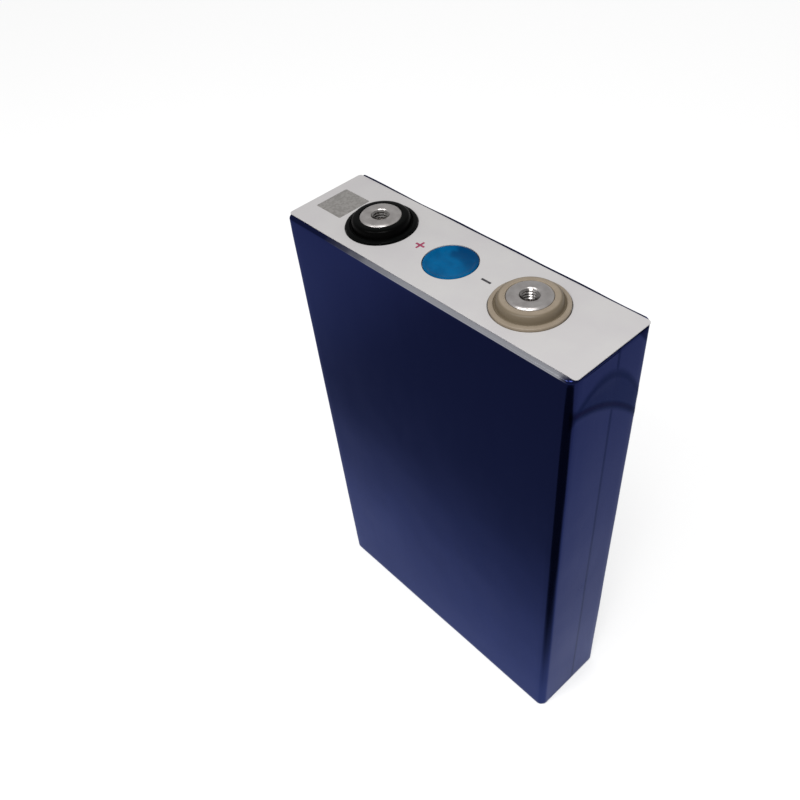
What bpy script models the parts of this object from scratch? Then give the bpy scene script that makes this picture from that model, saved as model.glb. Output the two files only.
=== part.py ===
"""A prismatic lithium iron phosphate battery cell: an aluminium can with a welded lid, wrapped in film.

Metres, +Z up. X runs along the width with the positive terminal at -X, Y runs through the thickness with
the broad front face at -Y, and the origin is the centre of the base that the cell stands on.
"""

import math

import bmesh
import bpy

MM = 0.001

# The wrapped case.
CASE_WIDTH = 130.0 * MM
CASE_DEPTH = 36.0 * MM
CASE_HEIGHT = 200.0 * MM  # base to the top of the insulating sheet
CASE_CORNER = 3.0 * MM  # outer radius of the four upright edges
FILM = 0.2 * MM
FILM_FOLD = 1.2 * MM  # outer radius where the film turns over the lid's edge
FILM_LIP_CLEARANCE = 1.25 * MM  # from the turned-in edge of the film to the terminals' rings
FILM_BASE_EDGE = 0.8 * MM
SHEET = 0.3 * MM
SHEET_MARGIN_X = 0.2 * MM
SHEET_MARGIN_FRONT = 1.6 * MM
SHEET_MARGIN_BACK = 0.8 * MM
SHEET_CORNER = 1.3 * MM

# The clearance between pieces that touch on the real cell.
GAP = 0.3 * MM

# The aluminium can and its lid.
CAN_WALL = 0.8 * MM
CAN_FLOOR = 1.5 * MM
LID = 2.0 * MM

# The terminals, alike but for their metal and the colour of their rings.
TERMINAL_INSET = 31.5 * MM  # from the case's side to the terminal's axis, which makes the pitch 67 mm
TERMINAL_RISE = 4.0 * MM  # contact face above the insulating sheet
HEAD_RADIUS = 7.25 * MM
HEAD_HEIGHT = 3.5 * MM
HEAD_CHAMFER = 0.6 * MM
THREAD_RADIUS = 3.0 * MM
THREAD_DEPTH = 5.5 * MM
THREAD_CHAMFER = 0.3 * MM
SHANK_RADIUS = 5.0 * MM
TAIL_RADIUS = 3.5 * MM
JOINT_DEPTH = 6.4 * MM  # contact face to the aluminium-copper joint of the negative terminal
RING_COLLAR = 1.15 * MM  # width of the collar round the head
RING_GROOVE = 1.2 * MM  # width of the hollow between the collar and the flange
RING_FLANGE = 2.6 * MM  # width of the flange
RING_FLANGE_RISE = 0.9 * MM  # flange edge above the sheet
RING_COLLAR_DROP = 0.5 * MM  # collar below the contact face
RING_EDGE = 0.3 * MM
GASKET_WALL = 0.7 * MM
GASKET_FLANGE = 2.0 * MM  # width of the flange under the lid

# The vent and the filling port.
MEMBRANE_RADIUS = 7.5 * MM
MEMBRANE = 0.3 * MM
MEMBRANE_SCORE = 0.12 * MM
MEMBRANE_SCORE_WIDTH = 0.5 * MM
MEMBRANE_SCORE_INSET = 2.3 * MM
MEMBRANE_SEAT = 0.9 * MM  # depth of the seat in the lid
MEMBRANE_LEDGE = 1.5 * MM  # width of the ledge under the membrane
VENT_FILM = 0.15 * MM
VENT_FILM_LAP = 1.65 * MM  # how far the film reaches past the membrane
VENT_DISH = 0.3 * MM
VENT_DISH_SLOPE = 1.0 * MM
FILL_INSET = 13.0 * MM  # from the case's side to the port's axis
FILL_RADIUS = 1.5 * MM
FILL_SEAT = 0.7 * MM
FILL_CAP_RADIUS = 4.0 * MM
FILL_CAP = 0.4 * MM

# The window in the sheet over the laser-marked patch of the lid.
WINDOW_WIDTH = 13.0 * MM
WINDOW_DEPTH = 14.0 * MM
WINDOW_INSET = 4.2 * MM  # from the case's side to the window

# Under the lid.
INSULATOR = 1.0 * MM
INSULATOR_SKIRT = 2.1 * MM
INSULATOR_SKIRT_WALL = 1.0 * MM
INSULATOR_END_CLEARANCE = 1.4 * MM  # from the can's liner to each insulator's outer end
GUARD_HALF = 9.6 * MM
GUARD_SLOTS = 5
GUARD_SLOT_WIDTH = 1.6 * MM
GUARD_SLOT_LENGTH = 20.0 * MM
FILL_PASSAGE_RADIUS = 2.5 * MM
COLLECTOR = 1.5 * MM
COLLECTOR_DEPTH = 22.0 * MM
COLLECTOR_OUTER = 10.5 * MM  # from the terminal's axis to the collector's outer end
COLLECTOR_INNER = 11.0 * MM  # from the middle of the cell to the collector's inner end
TAB_INNER = 12.0 * MM  # from the middle of the cell to the tabs' inner edge
TAB_BEND = 1.5 * MM
WELD_TAPE = 0.15 * MM
WELD_TAPE_MARGIN = 0.8 * MM

# The two wound rolls and what holds them.
BOTTOM_PLATE = 0.5 * MM
BOTTOM_PLATE_HOLE = 2.0 * MM
BOTTOM_PLATE_HOLES = 5
BAG = 0.15 * MM
BAG_HEADROOM = 4.0 * MM  # bag above the rolls
TAB_SPACE = 8.0 * MM  # rolls' top below the collectors
ROLL_TURNS = 2
MANDREL_RADIUS = 0.6 * MM
SEPARATOR = 0.25 * MM
NEGATIVE_MARGIN = 1.0 * MM  # separator past the negative electrode, at each end
POSITIVE_MARGIN = 2.0 * MM  # separator past the positive electrode, at each end
ROLL_TAPE = 0.12 * MM
ROLL_TAPE_LOW = 60.0 * MM
ROLL_TAPE_HIGH = 120.0 * MM
ROLL_TAPE_ANGLE = math.radians(60)

# Heights that follow from the sizes above.
SHEET_BOTTOM = CASE_HEIGHT - SHEET
FILM_TOP = SHEET_BOTTOM - GAP
LID_TOP = FILM_TOP - FILM - GAP
LID_BOTTOM = LID_TOP - LID
CONTACT_Z = CASE_HEIGHT + TERMINAL_RISE
HEAD_BOTTOM = CONTACT_Z - HEAD_HEIGHT
INSULATOR_TOP = LID_BOTTOM - GAP
INSULATOR_BOTTOM = INSULATOR_TOP - INSULATOR
COLLECTOR_TOP = INSULATOR_BOTTOM - GAP
COLLECTOR_BOTTOM = COLLECTOR_TOP - COLLECTOR
TAIL_BOTTOM = COLLECTOR_BOTTOM - GAP
TAB_TOP = COLLECTOR_BOTTOM - GAP
CAN_BOTTOM = FILM + GAP
CAN_INSIDE_BOTTOM = CAN_BOTTOM + CAN_FLOOR
BOTTOM_PLATE_Z = CAN_INSIDE_BOTTOM + GAP
BAG_BOTTOM = BOTTOM_PLATE_Z + BOTTOM_PLATE + GAP
ROLL_BOTTOM = BAG_BOTTOM + BAG + GAP
ROLL_TOP = COLLECTOR_BOTTOM - TAB_SPACE

# Plan sizes that follow from the sizes above: each piece fits inside the one before it.
CAN_INSET = FILM + GAP
CAN_WIDTH = CASE_WIDTH - 2 * CAN_INSET
CAN_DEPTH = CASE_DEPTH - 2 * CAN_INSET
CAN_CORNER = CASE_CORNER - CAN_INSET
CAN_RIM_EDGE = FILM_FOLD - CAN_INSET
CAN_BASE_EDGE = FILM_BASE_EDGE - CAN_INSET
LINER_INSET = CAN_WALL + GAP
LINER_WIDTH = CAN_WIDTH - 2 * LINER_INSET
LINER_DEPTH = CAN_DEPTH - 2 * LINER_INSET
LINER_CORNER = CAN_CORNER - LINER_INSET
ROLL_SPACE_WIDTH = LINER_WIDTH - 2 * (BAG + GAP)
ROLL_HALF_DEPTH = (LINER_DEPTH - 2 * BAG - 3 * GAP) / 4
ROLL_Y = ROLL_HALF_DEPTH + GAP / 2
TERMINAL_X = CASE_WIDTH / 2 - TERMINAL_INSET
TAB_OUTER = TERMINAL_X - TAIL_RADIUS - GAP
FILL_X = CASE_WIDTH / 2 - FILL_INSET
INSULATOR_END = LINER_WIDTH / 2 - INSULATOR_END_CLEARANCE
HEAD_POCKET = HEAD_RADIUS + GAP
COLLAR_RADIUS = HEAD_POCKET + RING_COLLAR
GROOVE_RADIUS = COLLAR_RADIUS + RING_GROOVE
RING_RADIUS = GROOVE_RADIUS + RING_FLANGE
FILM_LIP = CASE_DEPTH / 2 - RING_RADIUS - FILM_LIP_CLEARANCE
GASKET_INNER = SHANK_RADIUS + GAP
GASKET_OUTER = GASKET_INNER + GASKET_WALL
GASKET_RADIUS = GASKET_OUTER + GASKET_FLANGE
VENT_FILM_RADIUS = MEMBRANE_RADIUS + VENT_FILM_LAP

# The pitch lets each strip make its turns and the roll fill its half of the bag.
ROLL_PITCH = (ROLL_HALF_DEPTH - MANDREL_RADIUS + GAP) / (ROLL_TURNS + 0.75)
ELECTRODE = (ROLL_PITCH - 2 * SEPARATOR - 4 * GAP) / 2
ROLL_OUTER_RADIUS = ROLL_HALF_DEPTH + ROLL_PITCH / 4
ROLL_STRAIGHT = ROLL_SPACE_WIDTH / 2 - (ROLL_OUTER_RADIUS - ROLL_PITCH / 4)
NEGATIVE_OFFSET = 0.0
INNER_SEPARATOR_OFFSET = NEGATIVE_OFFSET + ELECTRODE + GAP
POSITIVE_OFFSET = INNER_SEPARATOR_OFFSET + SEPARATOR + GAP
OUTER_SEPARATOR_OFFSET = POSITIVE_OFFSET + ELECTRODE + GAP
ROLL_TAPE_OFFSET = OUTER_SEPARATOR_OFFSET + SEPARATOR + GAP

# How finely curves are drawn.
CORNER_STEPS = 6
EDGE_STEPS = 4
TURNED_STEPS = 32
ROLL_ARC_STEPS = 12
BEND_STEPS = 5
CUT_CLEAR = 1.0 * MM  # how far a cutter runs past the face it opens
SMALLEST_CORNER = 0.2 * MM
ANGLE_TOLERANCE = 1e-6
WELD_DISTANCE = 1e-6

SIDES = {"plus": -1, "minus": 1}
ROLLS = {"front": -1, "back": 1}


def clear_scene():
    for obj in list(bpy.data.objects):
        bpy.data.objects.remove(obj)


def material(name, colour, roughness, metallic=0.0):
    made = bpy.data.materials.new(name)
    made.use_nodes = True
    shader = made.node_tree.nodes["Principled BSDF"]
    shader.inputs["Base Color"].default_value = (*colour, 1.0)
    shader.inputs["Roughness"].default_value = roughness
    shader.inputs["Metallic"].default_value = metallic
    return made


def make_materials():
    return {
        "film": material("navy_film", (0.012, 0.016, 0.075), 0.12),
        "sheet": material("white_sheet", (0.60, 0.59, 0.59), 0.55),
        "aluminium": material("aluminium", (0.62, 0.61, 0.60), 0.32, 1.0),
        "copper": material("copper", (0.85, 0.45, 0.28), 0.30, 1.0),
        "black": material("black_resin", (0.006, 0.006, 0.007), 0.35),
        "beige": material("beige_resin", (0.30, 0.26, 0.18), 0.45),
        "vent_film": material("blue_film", (0.0, 0.12, 0.34), 0.15),
        "rubber": material("sealing_rubber", (0.02, 0.02, 0.02), 0.60),
        "polypropylene": material("polypropylene", (0.72, 0.74, 0.74), 0.40),
        "bag": material("bag_film", (0.70, 0.72, 0.74), 0.25),
        "tape": material("green_tape", (0.05, 0.32, 0.14), 0.35),
        "positive": material("positive_electrode", (0.05, 0.05, 0.055), 0.70),
        "negative": material("negative_electrode", (0.025, 0.025, 0.028), 0.75),
        "separator": material("separator", (0.82, 0.82, 0.80), 0.50),
    }


def add_object(name, bm, finish, place=(0, 0, 0)):
    """Makes an object from bm, which it closes, with its faces pointing out."""
    bmesh.ops.remove_doubles(bm, verts=bm.verts, dist=WELD_DISTANCE)
    bmesh.ops.recalc_face_normals(bm, faces=bm.faces)
    mesh = bpy.data.meshes.new(name)
    bm.to_mesh(mesh)
    bm.free()
    mesh.shade_smooth()
    mesh.set_sharp_from_angle(angle=math.radians(30))
    if finish:
        mesh.materials.append(finish)
    obj = bpy.data.objects.new(name, mesh)
    obj.location = place
    bpy.context.scene.collection.objects.link(obj)
    return obj


def cut(target, name, bm, place=(0, 0, 0)):
    """Cuts bm's shape from target, and keeps it as a wire guide."""
    cutter = add_object(name, bm, None, place)
    cutter.hide_render = True
    cutter.display_type = "WIRE"
    boolean = target.modifiers.new(name, "BOOLEAN")
    boolean.operation = "DIFFERENCE"
    boolean.solver = "EXACT"
    boolean.object = cutter


def rounded_outline(width, depth, radius):
    """The corners of a rounded rectangle about the origin, counter-clockwise, as many for any radius."""
    points = []
    for quarter, (sx, sy) in enumerate(((1, 1), (-1, 1), (-1, -1), (1, -1))):
        for step in range(CORNER_STEPS + 1):
            angle = math.pi / 2 * (quarter + step / CORNER_STEPS)
            x = sx * (width / 2 - radius) + radius * math.cos(angle)
            y = sy * (depth / 2 - radius) + radius * math.sin(angle)
            points.append((x, y))
    return points


def outline_ring(bm, width, depth, radius, inset, z):
    """The corners of a rounded rectangle set in by inset, at height z."""
    corner = max(radius - inset, SMALLEST_CORNER)
    outline = rounded_outline(width - 2 * inset, depth - 2 * inset, corner)
    return [bm.verts.new((x, y, z)) for x, y in outline]


def stacked_shell(width, depth, radius, sections):
    """A closed body that follows sections of (inset, z) from one cap to the other."""
    bm = bmesh.new()
    rings = [outline_ring(bm, width, depth, radius, inset, z) for inset, z in sections]
    for lower, upper in zip(rings, rings[1:]):
        for i in range(len(lower)):
            bm.faces.new((lower[i - 1], lower[i], upper[i], upper[i - 1]))
    bm.faces.new(rings[0])
    bm.faces.new(rings[-1])
    return bm


def quarter_arc(centre_inset, centre_z, radius, start, end):
    """Sections along an arc, with angles in degrees from the outward direction."""
    sections = []
    for step in range(EDGE_STEPS + 1):
        angle = math.radians(start + (end - start) * step / EDGE_STEPS)
        sections.append((centre_inset - radius * math.cos(angle), centre_z + radius * math.sin(angle)))
    return sections


def block(low, high):
    """A box between two corners."""
    bm = bmesh.new()
    bmesh.ops.create_cube(bm, size=1.0)
    size = [h - l for l, h in zip(low, high)]
    middle = [(h + l) / 2 for l, h in zip(low, high)]
    bmesh.ops.scale(bm, vec=size, verts=bm.verts)
    bmesh.ops.translate(bm, vec=middle, verts=bm.verts)
    return bm


def turned(profile):
    """A body turned about Z from a closed profile of (radius, z) points."""
    bm = bmesh.new()
    verts = [bm.verts.new((radius, 0, z)) for radius, z in profile]
    on_axis = profile[0][0] == 0 and profile[-1][0] == 0
    pairs = zip(verts, verts[1:]) if on_axis else zip([verts[-1]] + verts, verts)
    edges = [bm.edges.new(pair) for pair in pairs]
    bmesh.ops.spin(
        bm, geom=verts + edges, cent=(0, 0, 0), axis=(0, 0, 1), angle=2 * math.pi, steps=TURNED_STEPS
    )
    return bm


def cylinder(radius, low, high):
    return turned([(0, low), (radius, low), (radius, high), (0, high)])


def ribbon(inner, outer, low, high, along_x=False):
    """A strip between two paths of as many points, as wide as low to high.

    The paths lie in the XY plane and the width along Z, or with along_x in the YZ plane and along X.
    """
    bm = bmesh.new()

    def corner(point, level):
        u, v = point
        return bm.verts.new((level, u, v) if along_x else (u, v, level))

    stations = []
    for a, b in zip(inner, outer):
        stations.append([corner(a, low), corner(b, low), corner(b, high), corner(a, high)])
    for here, there in zip(stations, stations[1:]):
        for k in range(4):
            bm.faces.new((here[k - 1], here[k], there[k], there[k - 1]))
    bm.faces.new(stations[0])
    bm.faces.new(stations[-1])
    return bm


def make_film_sleeve(finish):
    fold_z = FILM_TOP - FILM_FOLD
    sections = quarter_arc(FILM_BASE_EDGE, FILM_BASE_EDGE, FILM_BASE_EDGE, -90, 0)
    sections += quarter_arc(FILM_FOLD, fold_z, FILM_FOLD, 0, 90)
    sections += [(FILM_LIP, FILM_TOP), (FILM_LIP, FILM_TOP - FILM)]
    sections += quarter_arc(FILM_FOLD, fold_z, FILM_FOLD - FILM, 90, 0)
    sections += quarter_arc(FILM_BASE_EDGE, FILM_BASE_EDGE, FILM_BASE_EDGE - FILM, 0, -90)
    add_object("film_sleeve", stacked_shell(CASE_WIDTH, CASE_DEPTH, CASE_CORNER, sections), finish)


def make_can(finish):
    base_z = CAN_BOTTOM + CAN_BASE_EDGE
    sections = quarter_arc(CAN_BASE_EDGE, base_z, CAN_BASE_EDGE, -90, 0)
    sections += quarter_arc(CAN_RIM_EDGE, LID_TOP - CAN_RIM_EDGE, CAN_RIM_EDGE, 0, 90)
    sections += [(CAN_WALL, LID_TOP), (CAN_WALL, CAN_INSIDE_BOTTOM)]
    add_object("can", stacked_shell(CAN_WIDTH, CAN_DEPTH, CAN_CORNER, sections), finish)


def stepped_bore(bore, seat_radius, seat_z):
    """A cutter through the lid: a bore under a wider seat."""
    below = LID_BOTTOM - CUT_CLEAR
    above = LID_TOP + CUT_CLEAR
    seat = [(bore, seat_z), (seat_radius, seat_z), (seat_radius, above)]
    return turned([(0, below), (bore, below)] + seat + [(0, above)])


def make_lid(finish):
    sections = [(0, LID_BOTTOM), (0, LID_TOP)]
    lid = add_object("lid_plate", stacked_shell(LINER_WIDTH, LINER_DEPTH, LINER_CORNER, sections), finish)
    below = LID_BOTTOM - CUT_CLEAR
    above = LID_TOP + CUT_CLEAR
    for name, side in SIDES.items():
        hole = cylinder(GASKET_OUTER + GAP, below, above)
        cut(lid, f"cut_lid_{name}", hole, (side * TERMINAL_X, 0, 0))
    vent = stepped_bore(MEMBRANE_RADIUS - MEMBRANE_LEDGE, MEMBRANE_RADIUS + GAP, LID_TOP - MEMBRANE_SEAT)
    cut(lid, "cut_lid_vent", vent)
    port = stepped_bore(FILL_RADIUS, FILL_CAP_RADIUS + GAP, LID_TOP - FILL_SEAT)
    cut(lid, "cut_lid_fill", port, (FILL_X, 0, 0))


def make_top_sheet(finish):
    width = CASE_WIDTH - 2 * SHEET_MARGIN_X
    depth = CASE_DEPTH - SHEET_MARGIN_FRONT - SHEET_MARGIN_BACK
    middle_y = (SHEET_MARGIN_FRONT - SHEET_MARGIN_BACK) / 2
    sections = [(0, SHEET_BOTTOM), (0, CASE_HEIGHT)]
    body = stacked_shell(width, depth, SHEET_CORNER, sections)
    sheet = add_object("top_sheet", body, finish, (0, middle_y, 0))
    low = SHEET_BOTTOM - CUT_CLEAR
    high = CASE_HEIGHT + CUT_CLEAR
    for name, side in SIDES.items():
        cut(sheet, f"cut_sheet_{name}", cylinder(RING_RADIUS + GAP, low, high), (side * TERMINAL_X, 0, 0))
    cut(sheet, "cut_sheet_vent", cylinder(VENT_FILM_RADIUS + GAP, low, high))
    window_x = WINDOW_INSET - CASE_WIDTH / 2
    window = block(
        (window_x, -WINDOW_DEPTH / 2, low),
        (window_x + WINDOW_WIDTH, WINDOW_DEPTH / 2, high),
    )
    cut(sheet, "cut_sheet_window", window)


def make_vent(aluminium, film):
    low = LID_TOP - MEMBRANE_SEAT + GAP
    high = low + MEMBRANE
    groove = high - MEMBRANE_SCORE
    inner = MEMBRANE_RADIUS - MEMBRANE_SCORE_INSET
    outer = inner + MEMBRANE_SCORE_WIDTH
    rim = [(0, low), (MEMBRANE_RADIUS, low), (MEMBRANE_RADIUS, high)]
    score = [(outer, high), (outer, groove), (inner, groove), (inner, high)]
    add_object("vent_membrane", turned(rim + score + [(0, high)]), aluminium)
    low = LID_TOP + GAP
    top = low + VENT_FILM
    rim = MEMBRANE_RADIUS
    dish = MEMBRANE_RADIUS - VENT_DISH_SLOPE
    under = [(0, low - VENT_DISH), (dish, low - VENT_DISH), (rim, low), (VENT_FILM_RADIUS, low)]
    over = [(VENT_FILM_RADIUS, top), (rim, top), (dish, top - VENT_DISH), (0, top - VENT_DISH)]
    add_object("vent_film", turned(under + over), film)


def make_fill_port(rubber, aluminium):
    seat_z = LID_TOP - FILL_SEAT
    place = (FILL_X, 0, 0)
    add_object("fill_plug", cylinder(FILL_RADIUS - GAP, LID_BOTTOM, seat_z), rubber, place)
    cap_z = seat_z + GAP
    add_object("fill_cap", cylinder(FILL_CAP_RADIUS, cap_z, cap_z + FILL_CAP), aluminium, place)


def make_terminal_ring(name, side, finish):
    """The moulded ring that insulates a terminal's head from the lid."""
    base = LID_TOP + GAP
    floor = HEAD_BOTTOM - GAP
    flange = CASE_HEIGHT + RING_FLANGE_RISE
    collar = CONTACT_Z - RING_COLLAR_DROP
    edge = RING_EDGE
    outside = [(RING_RADIUS, base), (RING_RADIUS, flange - edge), (RING_RADIUS - edge, flange)]
    shoulder = [(GROOVE_RADIUS + 2 * edge, flange + edge), (GROOVE_RADIUS, flange + 2 * edge)]
    wall = GROOVE_RADIUS - edge
    top = [(wall, collar - 3 * edge), (wall - edge, collar - edge), (COLLAR_RADIUS, collar)]
    inside = [(HEAD_POCKET, collar), (HEAD_POCKET, floor), (GASKET_INNER, floor), (GASKET_INNER, base)]
    add_object(f"ring_{name}", turned(outside + shoulder + top + inside), finish, (side * TERMINAL_X, 0, 0))


def terminal_top():
    """The profile of a terminal from the bottom of its threaded hole to the head's underside."""
    hole = [(0, CONTACT_Z - THREAD_DEPTH), (THREAD_RADIUS, CONTACT_Z - THREAD_DEPTH)]
    mouth = [(THREAD_RADIUS, CONTACT_Z - THREAD_CHAMFER), (THREAD_RADIUS + THREAD_CHAMFER, CONTACT_Z)]
    face = [(HEAD_RADIUS - HEAD_CHAMFER, CONTACT_Z), (HEAD_RADIUS, CONTACT_Z - HEAD_CHAMFER)]
    return hole + mouth + face + [(HEAD_RADIUS, HEAD_BOTTOM), (SHANK_RADIUS, HEAD_BOTTOM)]


def shank_end():
    """The profile of a shank's lower end and of the tail that is peened into the collector."""
    shoulder = [(SHANK_RADIUS, INSULATOR_BOTTOM), (TAIL_RADIUS, INSULATOR_BOTTOM)]
    return shoulder + [(TAIL_RADIUS, TAIL_BOTTOM), (0, TAIL_BOTTOM)]


def make_terminals(aluminium, copper):
    add_object("terminal_plus", turned(terminal_top() + shank_end()), aluminium, (-TERMINAL_X, 0, 0))
    joint = CONTACT_Z - JOINT_DEPTH
    head = terminal_top() + [(SHANK_RADIUS, joint), (0, joint)]
    add_object("terminal_minus", turned(head), aluminium, (TERMINAL_X, 0, 0))
    stud = [(0, joint - GAP), (SHANK_RADIUS, joint - GAP)] + shank_end()
    add_object("post_minus", turned(stud), copper, (TERMINAL_X, 0, 0))


def make_gasket(name, side, finish):
    """The seal: a sleeve in the lid's hole with a flange pressed against the lid's underside."""
    sleeve = [(GASKET_INNER, LID_TOP), (GASKET_INNER, INSULATOR_BOTTOM)]
    flange = [(GASKET_RADIUS, INSULATOR_BOTTOM), (GASKET_RADIUS, INSULATOR_TOP)]
    back = [(GASKET_OUTER, INSULATOR_TOP), (GASKET_OUTER, LID_TOP)]
    add_object(f"gasket_{name}", turned(sleeve + flange + back), finish, (side * TERMINAL_X, 0, 0))


def span(side, near, far):
    """The X limits of a piece that reaches from near to far, measured from the middle towards one side."""
    return sorted((side * near, side * far))


def make_lower_insulator(name, side, finish):
    low_x, high_x = span(side, GUARD_HALF + GAP, INSULATOR_END)
    half = LINER_DEPTH / 2 - GAP
    inside = half - INSULATOR_SKIRT_WALL
    skirt = INSULATOR_BOTTOM - INSULATOR_SKIRT
    tray = add_object(
        f"lower_insulator_{name}", block((low_x, -half, skirt), (high_x, half, INSULATOR_TOP)), finish
    )
    channel = block(
        (low_x - CUT_CLEAR, -inside, skirt - CUT_CLEAR), (high_x + CUT_CLEAR, inside, INSULATOR_BOTTOM)
    )
    cut(tray, f"cut_channel_{name}", channel)
    above = INSULATOR_TOP + CUT_CLEAR
    hole = cylinder(GASKET_RADIUS + GAP, skirt, above)
    cut(tray, f"cut_insulator_{name}", hole, (side * TERMINAL_X, 0, 0))
    passage = cylinder(FILL_PASSAGE_RADIUS, skirt, above)
    cut(tray, f"cut_passage_{name}", passage, (side * FILL_X, 0, 0))


def make_vent_guard(finish):
    half = LINER_DEPTH / 2 - GAP
    guard = add_object(
        "vent_guard", block((-GUARD_HALF, -half, INSULATOR_BOTTOM), (GUARD_HALF, half, INSULATOR_TOP)), finish
    )
    pitch = 2 * GUARD_HALF / (GUARD_SLOTS + 1)
    for index in range(GUARD_SLOTS):
        x = pitch * (index + 1) - GUARD_HALF
        slot = block(
            (x - GUARD_SLOT_WIDTH / 2, -GUARD_SLOT_LENGTH / 2, INSULATOR_BOTTOM - CUT_CLEAR),
            (x + GUARD_SLOT_WIDTH / 2, GUARD_SLOT_LENGTH / 2, INSULATOR_TOP + CUT_CLEAR),
        )
        cut(guard, f"cut_slot_{index + 1}", slot)


def make_collector(name, side, finish):
    low_x, high_x = span(side, COLLECTOR_INNER, TERMINAL_X + COLLECTOR_OUTER)
    half = COLLECTOR_DEPTH / 2
    plate = add_object(
        f"collector_{name}", block((low_x, -half, COLLECTOR_BOTTOM), (high_x, half, COLLECTOR_TOP)), finish
    )
    hole = cylinder(TAIL_RADIUS + GAP, COLLECTOR_BOTTOM - CUT_CLEAR, COLLECTOR_TOP + CUT_CLEAR)
    cut(plate, f"cut_collector_{name}", hole, (side * TERMINAL_X, 0, 0))


def spiral_radius(angle):
    """The inner radius of a roll's first layer, at an angle counted from the start of winding."""
    return MANDREL_RADIUS + ROLL_PITCH * angle / (2 * math.pi)


def spiral_path(roll, offset, first_angle, last_angle):
    """Points of a flat winding between two angles: half circles about two centres, with straight runs."""
    half_turns = math.ceil((last_angle - first_angle) / math.pi - ANGLE_TOLERANCE)
    points = []
    for half_turn in range(half_turns):
        start = first_angle + half_turn * math.pi
        stop = min(start + math.pi, last_angle)
        centre_x = ROLL_STRAIGHT if math.cos((start + stop) / 2 - math.pi / 2) > 0 else -ROLL_STRAIGHT
        for step in range(ROLL_ARC_STEPS + 1):
            angle = start + (stop - start) * step / ROLL_ARC_STEPS
            radius = spiral_radius(angle) + offset
            x = centre_x + radius * math.sin(angle)
            y = -radius * math.cos(angle) + ROLL_PITCH / 4
            points.append((x, roll * (ROLL_Y - y)))
    return points


def wound_strip(name, roll, finish, offset, thickness, low, high, first_angle, last_angle):
    inner = spiral_path(roll, offset, first_angle, last_angle)
    outer = spiral_path(roll, offset + thickness, first_angle, last_angle)
    add_object(name, ribbon(inner, outer, low, high), finish)


def make_roll(name, roll, materials):
    """One roll: a negative and a positive electrode wound together with two separators."""
    end = 2 * math.pi * ROLL_TURNS
    layers = (
        ("negative", "negative", NEGATIVE_OFFSET, ELECTRODE, NEGATIVE_MARGIN),
        ("separator_inner", "separator", INNER_SEPARATOR_OFFSET, SEPARATOR, 0.0),
        ("positive", "positive", POSITIVE_OFFSET, ELECTRODE, POSITIVE_MARGIN),
        ("separator_outer", "separator", OUTER_SEPARATOR_OFFSET, SEPARATOR, 0.0),
    )
    for layer, finish, offset, thickness, margin in layers:
        low = ROLL_BOTTOM + margin
        high = ROLL_TOP - margin
        node = f"{layer}_{name}"
        wound_strip(node, roll, materials[finish], offset, thickness, low, high, 0.0, end)
    middle = end - 1.5 * math.pi
    wound_strip(
        f"roll_tape_{name}",
        roll,
        materials["tape"],
        ROLL_TAPE_OFFSET,
        ROLL_TAPE,
        ROLL_TAPE_LOW,
        ROLL_TAPE_HIGH,
        middle - ROLL_TAPE_ANGLE,
        middle + ROLL_TAPE_ANGLE,
    )


def tab_foot_y(name):
    """How far from the middle plane a tab's inner face stands: over its electrode's last straight run."""
    offset = {"plus": POSITIVE_OFFSET, "minus": NEGATIVE_OFFSET}[name]
    return ROLL_Y + spiral_radius(2 * math.pi * (ROLL_TURNS - 1)) + offset - ROLL_PITCH / 4


def make_tab(name, side, roll_name, roll, finish):
    """A stack of foil tabs that rises from one electrode's edge and turns under the collector."""
    margin = {"plus": POSITIVE_MARGIN, "minus": NEGATIVE_MARGIN}[name]
    inner_y = tab_foot_y(name)
    outer_y = inner_y + ELECTRODE
    foot = ROLL_TOP - margin + GAP
    bend_y = inner_y - TAB_BEND
    bend_z = TAB_TOP - ELECTRODE - TAB_BEND
    inner = [(roll * inner_y, foot)]
    outer = [(roll * outer_y, foot)]
    for step in range(BEND_STEPS + 1):
        angle = math.pi / 2 * step / BEND_STEPS
        for path, bend in ((inner, TAB_BEND), (outer, TAB_BEND + ELECTRODE)):
            path.append((roll * (bend_y + bend * math.cos(angle)), bend_z + bend * math.sin(angle)))
    inner.append((roll * GAP, TAB_TOP - ELECTRODE))
    outer.append((roll * GAP, TAB_TOP))
    low_x, high_x = span(side, TAB_INNER, TAB_OUTER)
    add_object(f"tab_{name}_{roll_name}", ribbon(inner, outer, low_x, high_x, along_x=True), finish)


def make_weld_tape(name, side, finish):
    """The tape over the welds between the tabs and the collector."""
    half = tab_foot_y(name) - TAB_BEND - GAP
    low_x, high_x = span(side, TAB_INNER - WELD_TAPE_MARGIN, TAB_OUTER)
    top = TAB_TOP - ELECTRODE - GAP
    add_object(f"weld_tape_{name}", block((low_x, -half, top - WELD_TAPE), (high_x, half, top)), finish)


def make_bag(finish):
    top = ROLL_TOP + BAG_HEADROOM
    sections = [(0, BAG_BOTTOM), (0, top), (BAG, top), (BAG, BAG_BOTTOM + BAG)]
    add_object("insulation_bag", stacked_shell(LINER_WIDTH, LINER_DEPTH, LINER_CORNER, sections), finish)


def make_bottom_plate(finish):
    low = BOTTOM_PLATE_Z
    high = low + BOTTOM_PLATE
    plate = add_object(
        "bottom_plate", stacked_shell(LINER_WIDTH, LINER_DEPTH, LINER_CORNER, [(0, low), (0, high)]), finish
    )
    pitch = LINER_WIDTH / (BOTTOM_PLATE_HOLES + 1)
    for index in range(BOTTOM_PLATE_HOLES):
        hole = cylinder(BOTTOM_PLATE_HOLE, low - CUT_CLEAR, high + CUT_CLEAR)
        cut(plate, f"cut_base_{index + 1}", hole, (pitch * (index + 1) - LINER_WIDTH / 2, 0, 0))


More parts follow.
